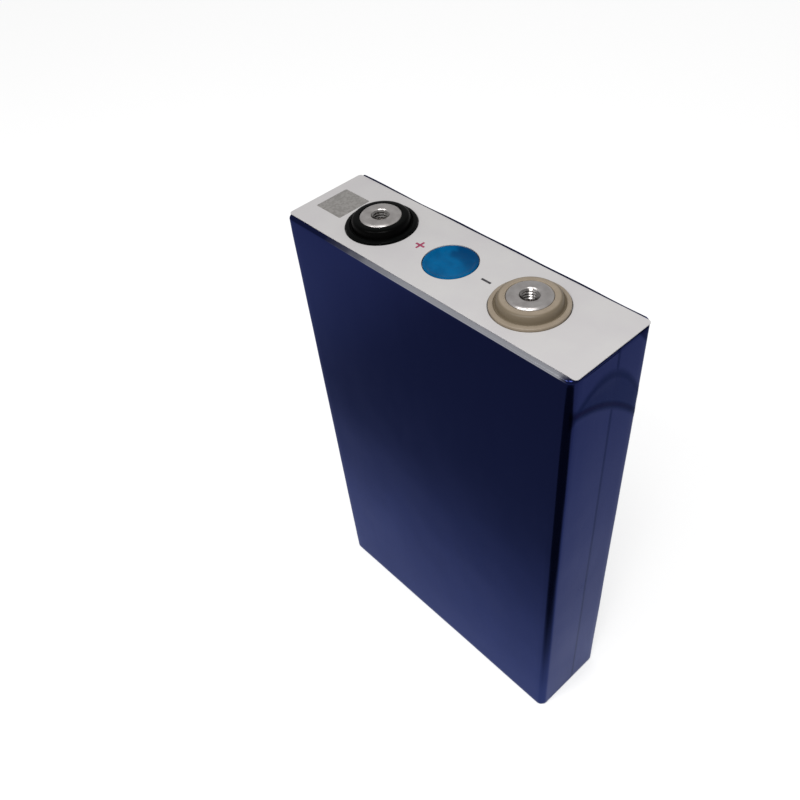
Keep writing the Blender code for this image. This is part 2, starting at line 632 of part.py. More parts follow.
def main():
    clear_scene()
    materials = make_materials()
    make_film_sleeve(materials["film"])
    make_can(materials["aluminium"])
    make_lid(materials["aluminium"])
    make_top_sheet(materials["sheet"])
    make_vent(materials["aluminium"], materials["vent_film"])
    make_fill_port(materials["rubber"], materials["aluminium"])
    make_terminals(materials["aluminium"], materials["copper"])
    make_vent_guard(materials["polypropylene"])
    ring_finish = {"plus": materials["black"], "minus": materials["beige"]}
    conductor = {"plus": materials["aluminium"], "minus": materials["copper"]}
    for name, side in SIDES.items():
        make_terminal_ring(name, side, ring_finish[name])
        make_gasket(name, side, materials["rubber"])
        make_lower_insulator(name, side, materials["polypropylene"])
        make_collector(name, side, conductor[name])
        make_weld_tape(name, side, materials["tape"])
        for roll_name, roll in ROLLS.items():
            make_tab(name, side, roll_name, roll, conductor[name])
    for roll_name, roll in ROLLS.items():
        make_roll(roll_name, roll, materials)
    make_bag(materials["bag"])
    make_bottom_plate(materials["polypropylene"])


main()
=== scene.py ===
"""A prismatic battery cell, wrapped in navy film, with two ringed terminals and a blue vent cover.

Metres, +Z up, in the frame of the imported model: the positive terminal at -X, the broad front face at -Y.
"""

import math

import bmesh
import bpy
from mathutils import Matrix, Vector, noise


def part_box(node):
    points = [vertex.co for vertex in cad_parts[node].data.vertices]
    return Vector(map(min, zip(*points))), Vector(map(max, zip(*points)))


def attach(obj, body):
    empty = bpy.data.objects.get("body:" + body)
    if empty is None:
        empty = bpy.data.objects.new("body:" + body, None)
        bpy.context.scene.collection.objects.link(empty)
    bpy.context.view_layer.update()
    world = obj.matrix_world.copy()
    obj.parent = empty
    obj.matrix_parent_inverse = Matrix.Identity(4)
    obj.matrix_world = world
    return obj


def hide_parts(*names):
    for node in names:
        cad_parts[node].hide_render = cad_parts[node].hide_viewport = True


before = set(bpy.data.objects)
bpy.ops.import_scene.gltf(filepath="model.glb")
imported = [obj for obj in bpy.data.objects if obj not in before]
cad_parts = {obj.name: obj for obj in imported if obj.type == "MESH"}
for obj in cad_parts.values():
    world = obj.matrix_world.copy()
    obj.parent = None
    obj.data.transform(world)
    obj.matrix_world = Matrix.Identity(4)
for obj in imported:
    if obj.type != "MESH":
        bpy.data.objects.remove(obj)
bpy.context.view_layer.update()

MM = 0.001

# Places that the pieces share, from the frame.
CASE_LOW, CASE_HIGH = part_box("film_sleeve")
SHEET_LOW, SHEET_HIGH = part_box("top_sheet")
LID_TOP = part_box("lid_plate")[1][2]
SHEET_TOP = SHEET_HIGH[2]
CONTACT_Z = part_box("terminal_plus")[1][2]


def middle_x(node):
    low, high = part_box(node)
    return (low[0] + high[0]) / 2


def half_width(node):
    low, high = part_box(node)
    return (high[0] - low[0]) / 2


TERMINALS = {"plus": middle_x("terminal_plus"), "minus": middle_x("terminal_minus")}
HEAD_RADIUS = half_width("terminal_plus")
RING_RADIUS = half_width("ring_plus")
VENT_RADIUS = half_width("vent_film")

# The film.
FILM = 0.2 * MM
FILM_LAYER = 0.1 * MM  # one layer where the film laps over itself
FILM_CORNER = 3.0 * MM
FILM_FOLD = 1.2 * MM
FILM_LIP = 4.0 * MM
FILM_BASE_EDGE = 0.8 * MM
FILM_TOP = SHEET_LOW[2] - 0.03 * MM
FILM_GRID = 2.5 * MM
BACK_LIP_RISE = 1.1 * MM
LAP_EDGE_Y = 2.2 * MM
LAP_START_Y = -13.6 * MM
LAP_END_MARGIN = 1.6 * MM
FLAP_TUCK = 17.0 * MM
TUCK_TAPER = 0.35
FLAP_TAPER = 0.86

# How the warm-pressed film stands off its flat.
SLOW_WAVE = 34 * MM
QUICK_WAVE = 13 * MM
SLOW_RISE = 0.10 * MM
QUICK_RISE = 0.035 * MM
WAVE_SINK = 0.08 * MM

# The folded ends. Each crease is its height in the middle, its slope and its curve across the face.
LOWER_CREASE = (179.5 * MM, -0.644, -16.7)
UPPER_CREASE = (190.8 * MM, -0.339, -48.3)
CREASE_DEPTH = 0.14 * MM
CREASE_WIDTH = 1.9 * MM
# Painted shade along the end creases, the seam and a corner: half the width of each band, and its share of
# the shade.
LOWER_BAND = 3.4 * MM
UPPER_BAND = 3.6 * MM
SEAM_BAND = 1.1 * MM
BAND_CORE = 0.2 * MM
SEAM_SHIFT = 0.2 * MM
LOWER_SHADE = 1.0
UPPER_SHADE = 0.7
SEAM_SHADE = 0.55
BETWEEN_SHADE = 0.5
CORNER_SHADE = 0.9
CORNER_SLOPE = 1.27
CORNER_FADE = (212.6 * MM, 214.4 * MM)

# The sheet on the lid, its window and its signs.
SHEET_CORNER = 1.3 * MM
SHEET_CLEARANCE = 0.3 * MM
SHEET_WAVE = 0.12 * MM
WINDOW_CENTRE_X = -54.3 * MM
WINDOW_WIDTH = 13.0 * MM
WINDOW_DEPTH = 14.0 * MM
SIGN_REACH = 1.95 * MM
SIGN_STROKE = 0.8 * MM
INK = 0.03 * MM
PLUS_X = -14.2 * MM
MINUS_X = 15.7 * MM

# The terminals' threads.
THREAD_MAJOR = 3.0 * MM
THREAD_MINOR = 2.5 * MM
THREAD_PITCH = 1.0 * MM
THREAD_TURNS = 5
HOLE_DEPTH = 5.5 * MM

TURN_STEPS = 96
SMOOTH_ANGLE = math.radians(35)

# The finishes: the range in which a noise moves, pattern sizes, and colours.
NOISE_LOW = 0.3  # most of a noise's values lie between these two
NOISE_HIGH = 0.7
CLOUD_DRIFT = 0.3
LATHE_PITCH = 0.35 * MM
MARK_CELL = 0.8 * MM
# Painted shade on the film's narrow ends: its darker colour, then the plain gloss and the gloss dimmed under
# that shade.
FILM_PAINTED_SHADE = "#0a0d27"
FILM_GLOSS = "#bdc0d5"
FILM_SHADED_GLOSS = "#b2b6c4"
BLACK_RESIN = ("#020303", "#050606")
# Painted shade in the black ring's groove.
BLACK_GROOVE_SHADE = "#010101"
BEIGE_RESIN = ("#8c7f6e", "#978a79")
# Painted shade in the beige ring's groove.
BEIGE_GROOVE_SHADE = "#6e6250"

# The studio: an even sky, a pale floor and a dark card that only gloss sees.
WORLD_STRENGTH = 0.5
FLOOR_LIFT = 0.47
CARD_COVER = 0.61
CARD_SPOT_COVER = 0.97
CARD_NEAR_Y = -36 * MM
CARD_FEATHER = 60 * MM
CARD_LEFT_X = -300 * MM
CARD_SPOT = (161 * MM, -150 * MM, 0)
CARD_SPOT_RADIUS = 165 * MM
CARD_SPOT_FEATHER = 50 * MM

# The camera looks down on the front and the negative end.
CAMERA_AZIMUTH = math.radians(53.30)
CAMERA_ELEVATION = math.radians(48.19)
CAMERA_ROLL = math.radians(-7.59)
CAMERA_DISTANCE = 409.51 * MM
CAMERA_RIGHT = -33.79 * MM
CAMERA_UP = 68.77 * MM
CAMERA_LENS = 36.58
CAMERA_SENSOR = 36.0
CAMERA_SHIFT_Y = 0.0745


# ---------------------------------------------------------------- modelling

def deselect_all():
    bpy.ops.object.select_all(action="DESELECT")


def hold(piece):
    """Makes a piece the only one selected, and the active one."""
    deselect_all()
    piece.select_set(True)
    bpy.context.view_layer.objects.active = piece


def pick(piece, kind, test):
    """In edit mode, selects the vertices, edges or faces that pass a test."""
    bpy.ops.mesh.select_mode(type=kind)
    bpy.ops.mesh.select_all(action="DESELECT")
    mesh = bmesh.from_edit_mesh(piece.data)
    elements = {"VERT": mesh.verts, "EDGE": mesh.edges, "FACE": mesh.faces}[kind]
    for element in elements:
        if test(element):
            element.select_set(True)
    mesh.select_flush_mode()
    bmesh.update_edit_mesh(piece.data)


def block(name, low, high):
    """A box between two corners, to be shaped further."""
    deselect_all()
    middle = [(a + b) / 2 for a, b in zip(low, high)]
    bpy.ops.mesh.primitive_cube_add(size=1, location=middle)
    piece = bpy.context.object
    piece.name = piece.data.name = name
    piece.scale = [b - a for a, b in zip(low, high)]
    bpy.ops.object.transform_apply(location=True, rotation=True, scale=True)
    return piece


def extrude_to(centre_x, here, there):
    """Extrudes what is selected from one (radius, z) of a turned profile to the next."""
    rise = there[1] - here[1]
    grow = there[0] / here[0]
    bpy.ops.mesh.extrude_region_move(TRANSFORM_OT_translate={"value": (0, 0, rise)})
    bpy.ops.transform.resize(value=(grow, grow, 1), center_override=(centre_x, 0, there[1]))


def turned(name, centre_x, profile, solid):
    """A turned body: a circle extruded along (radius, z) points. A solid one is capped, a ring is bridged."""
    deselect_all()
    radius, z = profile[0]
    fill = "NGON" if solid else "NOTHING"
    bpy.ops.mesh.primitive_circle_add(
        vertices=TURN_STEPS, radius=radius, fill_type=fill, location=(centre_x, 0, z)
    )
    piece = bpy.context.object
    piece.name = piece.data.name = name
    bpy.ops.object.transform_apply(location=True, rotation=True, scale=True)
    bpy.ops.object.mode_set(mode="EDIT")
    bpy.ops.mesh.select_mode(type="FACE" if solid else "EDGE")
    bpy.ops.mesh.select_all(action="SELECT")
    for here, there in zip(profile, profile[1:]):
        extrude_to(centre_x, here, there)
    if not solid:
        pick(piece, "EDGE", lambda edge: edge.is_boundary)
        bpy.ops.mesh.bridge_edge_loops()
    bpy.ops.object.mode_set(mode="OBJECT")
    return piece


def slice_grid(piece, axis, step):
    """Cuts a piece across one axis every step, so that it can bend between the cuts."""
    coordinates = [vertex.co[axis] for vertex in piece.data.vertices]
    low, high = min(coordinates), max(coordinates)
    cuts = int((high - low) / step)
    hold(piece)
    bpy.ops.object.mode_set(mode="EDIT")
    normal = [0.0, 0.0, 0.0]
    normal[axis] = 1.0
    for cut in range(1, cuts):
        place = [0.0, 0.0, 0.0]
        place[axis] = low + (high - low) * cut / cuts
        bpy.ops.mesh.select_all(action="SELECT")
        bpy.ops.mesh.bisect(plane_co=place, plane_no=normal)
    bpy.ops.object.mode_set(mode="OBJECT")


def apply_modifier(piece, kind, **settings):
    hold(piece)
    modifier = piece.modifiers.new(kind.lower(), kind)
    for setting, value in settings.items():
        setattr(modifier, setting, value)
    bpy.ops.object.modifier_apply(modifier=modifier.name)


def cut_out(piece, cutter):
    """Cuts one piece's shape from another, and throws the cutter away."""
    apply_modifier(piece, "BOOLEAN", operation="DIFFERENCE", solver="EXACT", object=cutter)
    bpy.data.objects.remove(cutter)


def bevel_edges(piece, test, width, segments):
    hold(piece)
    bpy.ops.object.mode_set(mode="EDIT")
    pick(piece, "EDGE", test)
    bpy.ops.mesh.bevel(offset=width, offset_type="OFFSET", segments=segments)
    bpy.ops.object.mode_set(mode="OBJECT")


def upright(edge):
    start, end = edge.verts
    return abs(start.co.z - end.co.z) > 0.9 * edge.calc_length()


def level_at(z):
    """A test for edges that lie level at height z."""
    return lambda edge: all(abs(vertex.co.z - z) < 0.01 * MM for vertex in edge.verts)


def finish(piece, material, slot, *nodes):
    """Smooths a finished piece, turns its faces outwards, gives it its material and rides it on the cell."""
    hold(piece)
    bpy.ops.object.mode_set(mode="EDIT")
    bpy.ops.mesh.select_all(action="SELECT")
    bpy.ops.mesh.remove_doubles(threshold=0.001 * MM)
    bpy.ops.mesh.normals_make_consistent(inside=False)
    bpy.ops.object.mode_set(mode="OBJECT")
    bpy.ops.object.shade_smooth_by_angle(angle=SMOOTH_ANGLE)
    piece.data.materials.clear()
    piece.data.materials.append(material)
    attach(piece, "root")
    if nodes:
        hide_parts(*nodes)
    return piece


def smooth_step(value, low, high):
    share = min(max((value - low) / (high - low), 0.0), 1.0)
    return share * share * (3 - 2 * share)


# ---------------------------------------------------------------- materials

def colour(code):
    """A linear colour from an sRGB hex code."""
    channels = []
    for index in (1, 3, 5):
        value = int(code[index:index + 2], 16) / 255
        channels.append(value / 12.92 if value <= 0.04045 else ((value + 0.055) / 1.055) ** 2.4)
    return (*channels, 1.0)


def add_node(tree, kind, inputs=None, stops=None, **settings):
    """Adds a node with its settings. Each input is a value or the socket that feeds it."""
    made = tree.nodes.new(kind)
    for setting, value in settings.items():
        setattr(made, setting, value)
    for name, value in (inputs or {}).items():
        if isinstance(value, bpy.types.NodeSocket):
            tree.links.new(value, made.inputs[name])
        else:
            made.inputs[name].default_value = value
    if stops:
        ramp = made.color_ramp
        ramp.elements[0].position, ramp.elements[0].color = stops[0]
        ramp.elements[1].position, ramp.elements[1].color = stops[-1]
        for position, shade in stops[1:-1]:
            ramp.elements.new(position).color = shade
    return made


def new_material(name, **constants):
    """A Principled material with constants on its shader's sockets, and its tree, shader and place."""
    made = bpy.data.materials.new(name)
    made.use_nodes = True
    tree = made.node_tree
    shader = tree.nodes["Principled BSDF"]
    for socket, value in constants.items():
        shader.inputs[socket.replace("_", " ")].default_value = value
    place = add_node(tree, "ShaderNodeTexCoord").outputs["Object"]
    return made, tree, shader, place


def feed(tree, shader, **sockets):
    for name, source in sockets.items():
        tree.links.new(source, shader.inputs[name.replace("_", " ")])


def grain(tree, place, size, detail=2.0, stretch=(1, 1, 1), roughness=0.5):
    """Noise whose features are about size across, in metres, stretched along an axis."""
    scale = [factor / size for factor in stretch]
    mapped = add_node(tree, "ShaderNodeMapping", {"Vector": place, "Scale": scale})
    settings = {"Vector": mapped.outputs["Vector"], "Scale": 1.0, "Detail": detail, "Roughness": roughness}
    return add_node(tree, "ShaderNodeTexNoise", settings).outputs["Fac"]


def region(tree, *limits):
    """1 inside a region and 0 outside it. Each limit is a value, where it starts and where it is full."""
    whole = None
    for value, start, full in limits:
        fade = {"Value": value, "From Min": start, "From Max": full}
        inside = add_node(tree, "ShaderNodeMapRange", fade, interpolation_type="SMOOTHSTEP").outputs["Result"]
        if whole is None:
            whole = inside
        else:
            both = add_node(tree, "ShaderNodeMath", {0: whole, 1: inside}, operation="MULTIPLY")
            whole = both.outputs["Value"]
    return whole


def surface(tree, shader, shade_by, shades, gloss_by, roughness, relief_by=None, depth=0.0):
    """Gives a surface its colour, its roughness and its relief, each led by a pattern. Returns the colour."""
    stops = [(NOISE_LOW, colour(shades[0])), (NOISE_HIGH, colour(shades[1]))]
    shade = add_node(tree, "ShaderNodeValToRGB", {"Fac": shade_by}, stops=stops).outputs["Color"]
    gloss = {"Value": gloss_by, "From Min": NOISE_LOW, "From Max": NOISE_HIGH}
    gloss.update({"To Min": roughness[0], "To Max": roughness[1]})
    feed(
        tree, shader,
        Base_Color=shade,
        Roughness=add_node(tree, "ShaderNodeMapRange", gloss).outputs["Result"],
    )
    if relief_by is not None:
        relief = {"Height": relief_by, "Distance": depth, "Strength": 1.0}
        feed(tree, shader, Normal=add_node(tree, "ShaderNodeBump", relief).outputs["Normal"])
    return shade


def painted_end_shade(tree, place):
    """1 where shade is painted on the narrow ends: two arched creases, what is between, the seam, a corner.
    """
    parts = add_node(tree, "ShaderNodeSeparateXYZ", {"Vector": place}).outputs
    gaps = []
    for middle, slope, curve in (LOWER_CREASE, UPPER_CREASE):
        bent = {0: parts["Y"], 1: curve, 2: slope}
        tilt = add_node(tree, "ShaderNodeMath", bent, operation="MULTIPLY_ADD").outputs["Value"]
        arch = {0: parts["Y"], 1: tilt, 2: middle}
        line = add_node(tree, "ShaderNodeMath", arch, operation="MULTIPLY_ADD").outputs["Value"]
        gap = add_node(tree, "ShaderNodeMath", {0: parts["Z"], 1: line}, operation="SUBTRACT")
        gaps.append(gap.outputs["Value"])
    seam = add_node(tree, "ShaderNodeMath", {0: parts["Y"], 1: LAP_EDGE_Y + SEAM_SHIFT}, operation="SUBTRACT")
    bands = (
        (gaps[0], LOWER_BAND, LOWER_SHADE), (gaps[1], UPPER_BAND, UPPER_SHADE),
        (seam.outputs["Value"], SEAM_BAND, SEAM_SHADE),
    )
    marks = []
    for source, width, shade_share in bands:
        away = add_node(tree, "ShaderNodeMath", {0: source}, operation="ABSOLUTE").outputs["Value"]
        marks.append((region(tree, (away, width, BAND_CORE)), shade_share))
    between = region(tree, (gaps[0], -2 * MM, 2 * MM), (gaps[1], 2.5 * MM, -2.5 * MM))
    marks.append((between, BETWEEN_SHADE))
    slant = {0: parts["Y"], 1: CORNER_SLOPE, 2: parts["Z"]}
    corner = add_node(tree, "ShaderNodeMath", slant, operation="MULTIPLY_ADD").outputs["Value"]
    marks.append((region(tree, (corner, *CORNER_FADE)), CORNER_SHADE))
    whole = 0.0
    for mark, shade_share in marks:
        scaled = add_node(tree, "ShaderNodeMath", {0: mark, 1: shade_share}, operation="MULTIPLY").outputs["Value"]
        whole = add_node(tree, "ShaderNodeMath", {0: scaled, 1: whole}, operation="MAXIMUM").outputs["Value"]
    side = add_node(tree, "ShaderNodeMath", {0: parts["X"]}, operation="ABSOLUTE").outputs["Value"]
    on_end = region(tree, (side, CASE_HIGH[0] - 1.3 * MM, CASE_HIGH[0] - 0.7 * MM))
    return add_node(tree, "ShaderNodeMath", {0: whole, 1: on_end}, operation="MULTIPLY").outputs["Value"]


def paint_end_shade(tree, shader, place, shade):
    """Paints shade into the film's colour and dims its gloss along the creases, seam and corner of the ends.
    Returns the colour.
    """
    shaded = painted_end_shade(tree, place)
    gloss = {0: shaded, 6: colour(FILM_GLOSS), 7: colour(FILM_SHADED_GLOSS)}
    feed(tree, shader, Specular_Tint=add_node(tree, "ShaderNodeMix", gloss, data_type="RGBA").outputs[2])
    darkened = {0: shaded, 6: shade, 7: colour(FILM_PAINTED_SHADE)}
    return add_node(tree, "ShaderNodeMix", darkened, data_type="RGBA").outputs[2]


def painted_paling_downwards(tree, place, cloud, top, middle, bottom):
    """A colour that pales towards the base, a painted reflection of the bright floor there, broken up by a
    cloud.
    """
    height = add_node(tree, "ShaderNodeSeparateXYZ", {"Vector": place}).outputs["Z"]
    inputs = {"Value": height, "From Min": CASE_HIGH[2], "From Max": CASE_LOW[2]}
    fall = add_node(tree, "ShaderNodeMapRange", inputs).outputs["Result"]
    broken = {0: cloud, 1: CLOUD_DRIFT, 2: fall}
    drift = add_node(tree, "ShaderNodeMath", broken, operation="MULTIPLY_ADD").outputs["Value"]
    scaled = add_node(tree, "ShaderNodeMath", {0: drift, 1: 1 / (1 + CLOUD_DRIFT)}, operation="MULTIPLY")
    stops = [(0.1, colour(top)), (0.6, colour(middle)), (0.9, colour(bottom))]
    shades = add_node(tree, "ShaderNodeValToRGB", {"Fac": scaled.outputs["Value"]}, stops=stops)
    return shades.outputs["Color"]


def painted_fold_highlight(tree, place, base):
    """The base colour, made paler along the front fold by a painted highlight of the lamp on the rounded
    edge.
    """
    parts = add_node(tree, "ShaderNodeSeparateXYZ", {"Vector": place}).outputs
    patchy = grain(tree, place, 9 * MM, 3.0)
    uneven = {0: patchy, 1: 24 * MM, 2: parts["X"]}
    reach = add_node(tree, "ShaderNodeMath", uneven, operation="MULTIPLY_ADD").outputs["Value"]
    highlit = region(
        tree,
        (parts["Z"], FILM_TOP - 1.05 * MM, FILM_TOP - 0.7 * MM),  # the rounded edge and not the face
        (parts["Y"], CASE_LOW[1] + 2.6 * MM, CASE_LOW[1] + 2.2 * MM),  # the front fold only
        (reach, -34 * MM, 12 * MM),  # it grows from left of the middle
        (reach, CASE_HIGH[0] + 12 * MM, CASE_HIGH[0] + 5 * MM),  # and fades towards the right corner
    )
    # The pale grey is the painted highlight.
    brightened = {0: highlit, 6: base, 7: colour("#b4b5bc")}
    return add_node(tree, "ShaderNodeMix", brightened, data_type="RGBA").outputs[2]


def dyed_film(name):
    """The gloss of a dyed film over bare metal: most of what it mirrors comes back navy."""
    return new_material(name, IOR=1.5, Metallic=0.92, Specular_IOR_Level=0.3)


def heat_set_film():
    # Blown PET film, dyed navy and pressed on warm: a wet gloss over slow waves, with a faint orange peel.
    made, tree, shader, place = dyed_film("navy_pet_film")
    cloud = grain(tree, place, 38 * MM, 3.0)
    peel = grain(tree, place, 1.6 * MM, 2.0)
    wave = grain(tree, place, 24 * MM, 1.0, (1, 1, 0.6))
    scuff = grain(tree, place, 5 * MM, 6.0, (1, 1, 0.3), 0.7)
    # Painted reflection: paler towards the base.
    shade = painted_paling_downwards(tree, place, cloud, "#161c40", "#1b2348", "#28325c")
    gloss = {"Value": scuff, "From Min": NOISE_LOW, "From Max": NOISE_HIGH, "To Min": 0.15, "To Max": 0.24}
    waved = {"Height": wave, "Distance": 0.12 * MM, "Strength": 1.0}
    slow = add_node(tree, "ShaderNodeBump", waved).outputs["Normal"]
    peeled = {"Height": peel, "Distance": 0.004 * MM, "Strength": 1.0, "Normal": slow}
    feed(
        tree, shader,
        # Painted highlight along the front fold, over painted shade on the narrow ends.
        Base_Color=painted_fold_highlight(tree, place, paint_end_shade(tree, shader, place, shade)),
        Roughness=add_node(tree, "ShaderNodeMapRange", gloss).outputs["Result"],
        Normal=add_node(tree, "ShaderNodeBump", peeled).outputs["Normal"],
    )
    return made


def film_layer():
    # The lapped and folded ends of the same film, pressed by hand: a little duller, with sharper wrinkles.
    made, tree, shader, place = dyed_film("navy_pet_film_lap")
    cloud = grain(tree, place, 30 * MM, 3.0)
    wrinkle = grain(tree, place, 9 * MM, 3.0, (1, 1, 0.5))
    # Painted reflection: paler towards the base.
    shade = painted_paling_downwards(tree, place, cloud, "#181e42", "#1d254b", "#2a345e")
    gloss = {"Value": cloud, "From Min": NOISE_LOW, "From Max": NOISE_HIGH, "To Min": 0.18, "To Max": 0.28}
    wrinkled = {"Height": wrinkle, "Distance": 0.06 * MM, "Strength": 1.0}
    feed(
        tree, shader,
        # Painted shade on the narrow ends.
        Base_Color=paint_end_shade(tree, shader, place, shade),
        Roughness=add_node(tree, "ShaderNodeMapRange", gloss).outputs["Result"],
        Normal=add_node(tree, "ShaderNodeBump", wrinkled).outputs["Normal"],
    )
    return made


def insulating_sheet():
    # Die-cut white polypropylene sheet, calendered: matt and even, with a faint cloud and a fine tooth.
    made, tree, shader, place = new_material("calendered_pp_sheet", IOR=1.49, Specular_IOR_Level=0.3)
    cloud = grain(tree, place, 14 * MM, 3.0)
    tooth = grain(tree, place, 0.5 * MM, 2.0)
    surface(tree, shader, cloud, ("#c2bfc0", "#c7c5c4"), tooth, (0.5, 0.62), tooth, 0.01 * MM)
    return made


def distance_from_axis(tree, place, axis_x):
    """How far each point lies from an upright axis, in metres."""
    centred = add_node(tree, "ShaderNodeMapping", {"Vector": place, "Location": (-axis_x, 0, 0)})
    level = {0: centred.outputs["Vector"], 1: (1, 1, 0)}
    flat = add_node(tree, "ShaderNodeVectorMath", level, operation="MULTIPLY").outputs["Vector"]
    return add_node(tree, "ShaderNodeVectorMath", {0: flat}, operation="LENGTH").outputs["Value"]


def turned_aluminium(name, axis_x):
    # Pure aluminium faced on a lathe: fine rings round the axis, drawn at 0.35 mm, and a soft satin sheen.
    made, tree, shader, place = new_material(f"turned_aluminium_{name}", Metallic=1.0, IOR=1.5)
    radius = distance_from_axis(tree, place, axis_x)
    turns = add_node(tree, "ShaderNodeMath", {0: radius, 1: 2 * math.pi / LATHE_PITCH}, operation="MULTIPLY")
    ridge = add_node(tree, "ShaderNodeMath", {0: turns.outputs["Value"]}, operation="SINE").outputs["Value"]
    smear = grain(tree, place, 3 * MM, 4.0)
    surface(tree, shader, smear, ("#b4afad", "#c9c5c3"), smear, (0.28, 0.4), ridge, 0.006 * MM)
    return made


def cut_thread():
    # Aluminium thread freshly tapped: bright flanks.
    made, tree, shader, place = new_material("tapped_aluminium", Metallic=1.0, IOR=1.5)
    smear = grain(tree, place, 1 * MM, 3.0)
    surface(tree, shader, smear, ("#7d7a78", "#979492"), smear, (0.15, 0.25))
    return made


def rolled_aluminium():
    # Deep-drawn and rolled aluminium: satin, with drag lines up the can.
    made, tree, shader, place = new_material("rolled_aluminium", Metallic=1.0, IOR=1.5)
    drag = grain(tree, place, 1.2 * MM, 3.0, (1, 1, 0.03))
    surface(tree, shader, drag, ("#bdbdbe", "#cccccd"), drag, (0.3, 0.42), drag, 0.01 * MM)
    return made


def marked_aluminium():
    # Lid metal frosted by a marking laser: matt grey with a fine grid of dull cells that spell nothing.
    made, tree, shader, place = new_material("laser_marked_aluminium", Metallic=0.35, IOR=1.5)
    grid = {"Vector": place, "Scale": 1 / MARK_CELL, "Randomness": 0.35}
    cells = add_node(tree, "ShaderNodeTexVoronoi", grid, distance="CHEBYCHEV").outputs["Color"]
    cell = add_node(tree, "ShaderNodeSeparateColor", {"Color": cells}).outputs["Red"]
    frost = grain(tree, place, 0.6 * MM, 3.0)
    surface(tree, shader, cell, ("#8f8c89", "#9d9a97"), frost, (0.5, 0.65), frost, 0.01 * MM)
    return made


def foil(name, shades):
    # Rolled foil or strip: bright, with faint rolling lines along the width.
    made, tree, shader, place = new_material(name, Metallic=1.0, IOR=1.5)
    lines = grain(tree, place, 0.8 * MM, 3.0, (0.05, 1, 1))
    surface(tree, shader, lines, shades, lines, (0.22, 0.36), lines, 0.006 * MM)
    return made


def moulded_resin(name, axis_x, shades, groove, roughness, level):
    # Injection-moulded PPS: an even satin with a fine spark-eroded texture, and painted shade in its groove.
    made, tree, shader, place = new_material(name, IOR=1.6, Specular_IOR_Level=level)
    cloud = grain(tree, place, 6 * MM, 3.0)
    spark = grain(tree, place, 0.35 * MM, 2.0)
    radius = distance_from_axis(tree, place, axis_x)
    groove_shade_mask = region(
        tree,
        (radius, RING_RADIUS - 1.1 * MM, RING_RADIUS - 1.9 * MM),
        (radius, RING_RADIUS - 3.7 * MM, RING_RADIUS - 2.9 * MM),
    )
    shade = surface(tree, shader, cloud, shades, spark, roughness, spark, 0.008 * MM)
    groove_shaded = {0: groove_shade_mask, 6: shade, 7: colour(groove)}
    feed(tree, shader, Base_Color=add_node(tree, "ShaderNodeMix", groove_shaded, data_type="RGBA").outputs[2])
    return made


def vent_cover_film():
    # Thin blue PET film stuck over the vent: glossy, slack in its dish, with painted shade in patches over
    # its far half.
    made, tree, shader, place = new_material("blue_pet_film", IOR=1.5, Specular_IOR_Level=0.04)
    slack = grain(tree, place, 5.5 * MM, 2.0)
    cloud = grain(tree, place, 4.5 * MM, 1.0)
    depth = add_node(tree, "ShaderNodeSeparateXYZ", {"Vector": place}).outputs["Y"]
    far_shade_patches = region(tree, (depth, -4 * MM, 8 * MM), (cloud, 0.32, 0.62))
    shade = surface(tree, shader, slack, ("#004f7e", "#005d90"), slack, (0.16, 0.26), slack, 0.25 * MM)
    # Painted shade: darker patches over the far half of the dish.
    far_shaded = {0: far_shade_patches, 6: shade, 7: colour("#003a66")}
    feed(tree, shader, Base_Color=add_node(tree, "ShaderNodeMix", far_shaded, data_type="RGBA").outputs[2])
    return made


def printed_ink(name, shades):
    # Screen-printed ink: flat, thin in places, so that the sheet greys it.
    made, tree, shader, place = new_material(name, IOR=1.45, Specular_IOR_Level=0.3)
    thin = grain(tree, place, 0.6 * MM, 3.0)
    surface(tree, shader, thin, shades, thin, (0.5, 0.65))
    return made


def plain_polymer(name, shades, roughness, size, depth):
    # Moulded, extruded or coated polymer under the lid: an even colour with its own faint tooth.
    made, tree, shader, place = new_material(name, IOR=1.49)
    cloud = grain(tree, place, 8 * MM, 3.0)
    tooth = grain(tree, place, size, 2.0)
    surface(tree, shader, cloud, shades, tooth, roughness, tooth, depth)
    return made


# ---------------------------------------------------------------- the film

def film_wave(place):
    """How far the warm-pressed film stands off its flat, in and out, at a place on the case."""
    slow = noise.noise(place / SLOW_WAVE)
    quick = noise.noise(place / QUICK_WAVE + Vector((7, 3, 1)))
    fade = smooth_step(FILM_TOP - place.z, 0.5 * MM, 9 * MM)
    return (SLOW_RISE * slow + QUICK_RISE * quick - WAVE_SINK) * fade


def crease_depth(place):
    """How deep the two arched creases of the folded end are, at a place on the narrow face."""
    depths = []
    for middle, slope, curve in (LOWER_CREASE, UPPER_CREASE):
        line = middle + (slope + curve * place.y) * place.y
        depths.append(math.exp(-((place.z - line) / CREASE_WIDTH) ** 2))
    return CREASE_DEPTH * max(depths) * smooth_step(CASE_HIGH[1] - abs(place.y), 0.0, 2.5 * MM)


def shape_film(piece):
    """Moves the film's points off the flat, lets the back edge stand up and presses in the end creases."""
    for vertex in piece.data.vertices:
        place = vertex.co.copy()
        move = film_wave(place)
        if abs(place.y) > CASE_HIGH[1] - 0.6 * MM:
            vertex.co.y += math.copysign(move, place.y)
        if abs(place.x) > CASE_HIGH[0] - 0.6 * MM:
            depth = crease_depth(place) if place.x > 0 else 0.5 * crease_depth(place)
            vertex.co.x += math.copysign(move - depth, place.x)
        back = smooth_step(place.y, CASE_HIGH[1] - 1.1 * MM, CASE_HIGH[1] - 0.5 * MM)
        near_top = smooth_step(place.z, FILM_TOP - 2.5 * MM, FILM_TOP - 0.3 * MM)
        uneven = 0.8 + 0.4 * noise.noise(Vector((place.x / (22 * MM), 0, 5)))
        vertex.co.z += BACK_LIP_RISE * back * near_top * uneven


